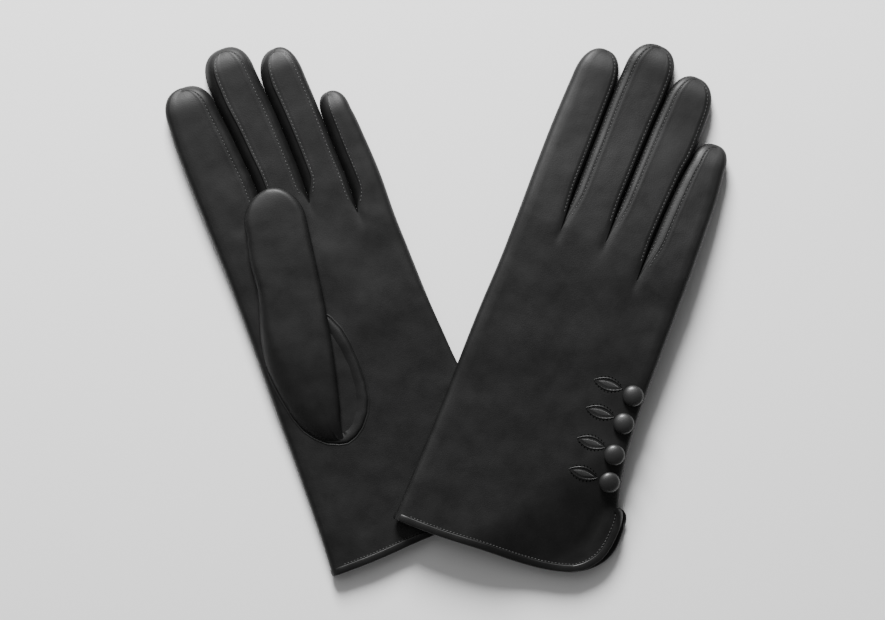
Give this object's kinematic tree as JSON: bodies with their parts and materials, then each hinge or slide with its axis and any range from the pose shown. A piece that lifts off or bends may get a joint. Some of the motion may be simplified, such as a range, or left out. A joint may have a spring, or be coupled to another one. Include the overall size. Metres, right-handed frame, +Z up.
{
  "type": "pair of leather dress gloves",
  "caption": "Pair of lined black leather dress gloves laid flat, left palm up and right back up, with covered buttons, sewn mock buttonholes and a bound cuff vent.",
  "frame": {"origin": "centre of the pair's outline, on the surface it lies on", "axes": "+X across the pair, from the left-hand glove to the right-hand one; +Y towards the fingertips; +Z up"},
  "size_m": [0.2896, 0.276, 0.0225],
  "materials": {
    "leather": "smooth semi-matt black nappa",
    "fourchette": "smooth semi-matt black nappa",
    "binding": "folded black leather strip",
    "button_leather": "black leather pulled over a dome",
    "button_metal": "pressed steel button shell",
    "thread": "black sewing thread",
    "lining": "fine black knit"
  },
  "bodies": {
    "left_hand": {"left_hand_back": "leather", "left_hand_palm": "leather", "left_radial_fold": "leather", "left_ulnar_side": "leather", "left_cuff_binding": "binding", "left_thumb_gusset": "leather", "left_hand_lining": "lining", "left_finger_bases": "leather", "left_base_fourchettes": "fourchette", "left_button_covers": "button_leather", "left_button_backs": "button_metal", "left_button_threads": "thread", "left_mock_buttonholes": "thread"},
    "left_thumb": {"left_thumb_leather": "leather", "left_thumb_lining": "lining"},
    "left_index": {"left_index_leather": "leather", "left_index_fourchettes": "fourchette", "left_index_lining": "lining"},
    "left_middle": {"left_middle_leather": "leather", "left_middle_fourchettes": "fourchette", "left_middle_lining": "lining"},
    "left_ring": {"left_ring_leather": "leather", "left_ring_fourchettes": "fourchette", "left_ring_lining": "lining"},
    "left_little": {"left_little_leather": "leather", "left_little_fourchettes": "fourchette", "left_little_lining": "lining"},
    "right_hand": {"right_hand_back": "leather", "right_hand_palm": "leather", "right_radial_fold": "leather", "right_ulnar_side": "leather", "right_cuff_binding": "binding", "right_thumb_gusset": "leather", "right_hand_lining": "lining", "right_finger_bases": "leather", "right_base_fourchettes": "fourchette", "right_button_covers": "button_leather", "right_button_backs": "button_metal", "right_button_threads": "thread", "right_mock_buttonholes": "thread"},
    "right_thumb": {"right_thumb_leather": "leather", "right_thumb_lining": "lining"},
    "right_index": {"right_index_leather": "leather", "right_index_fourchettes": "fourchette", "right_index_lining": "lining"},
    "right_middle": {"right_middle_leather": "leather", "right_middle_fourchettes": "fourchette", "right_middle_lining": "lining"},
    "right_ring": {"right_ring_leather": "leather", "right_ring_fourchettes": "fourchette", "right_ring_lining": "lining"},
    "right_little": {"right_little_leather": "leather", "right_little_fourchettes": "fourchette", "right_little_lining": "lining"}
  },
  "joints": [
    {"name": "right_glove_lift", "type": "slide", "parent": "left_hand", "child": "right_hand", "axis": [0, 0, 1], "range_m": [0, 0.1]},
    {"name": "left_thumb_spread", "type": "hinge", "parent": "left_hand", "child": "left_thumb", "pos_m": [-0.06349, -0.04365, 0.0099], "axis": [0, 0, 1], "range_deg": [0, 40]},
    {"name": "left_index_fold", "type": "hinge", "parent": "left_hand", "child": "left_index", "pos_m": [-0.11594, 0.06378, 0.0095], "axis": [0.9367, 0.3502, 0], "range_deg": [0, 80]},
    {"name": "left_middle_fold", "type": "hinge", "parent": "left_hand", "child": "left_middle", "pos_m": [-0.09001, 0.07454, 0.0095], "axis": [0.9367, 0.3502, 0], "range_deg": [0, 80]},
    {"name": "left_ring_fold", "type": "hinge", "parent": "left_hand", "child": "left_ring", "pos_m": [-0.06637, 0.07698, 0.0095], "axis": [0.9367, 0.3502, 0], "range_deg": [0, 80]},
    {"name": "left_little_fold", "type": "hinge", "parent": "left_hand", "child": "left_little", "pos_m": [-0.04437, 0.07453, 0.0095], "axis": [0.9367, 0.3502, 0], "range_deg": [0, 80]},
    {"name": "right_thumb_spread", "type": "hinge", "parent": "right_hand", "child": "right_thumb", "pos_m": [0.03651, -0.02456, 0.004], "axis": [0, 0, 1], "range_deg": [0, 40]},
    {"name": "right_index_fold", "type": "hinge", "parent": "right_hand", "child": "right_index", "pos_m": [0.06176, 0.08264, 0.01489], "axis": [0.9304, -0.3665, 0], "range_deg": [0, 80]},
    {"name": "right_middle_fold", "type": "hinge", "parent": "right_hand", "child": "right_middle", "pos_m": [0.08511, 0.07452, 0.01476], "axis": [0.9304, -0.3665, 0], "range_deg": [0, 80]},
    {"name": "right_ring_fold", "type": "hinge", "parent": "right_hand", "child": "right_ring", "pos_m": [0.10501, 0.06024, 0.01551], "axis": [0.9304, -0.3665, 0], "range_deg": [0, 80]},
    {"name": "right_little_fold", "type": "hinge", "parent": "right_hand", "child": "right_little", "pos_m": [0.12321, 0.04232, 0.01667], "axis": [0.9304, -0.3665, 0], "range_deg": [0, 80]}
  ]
}
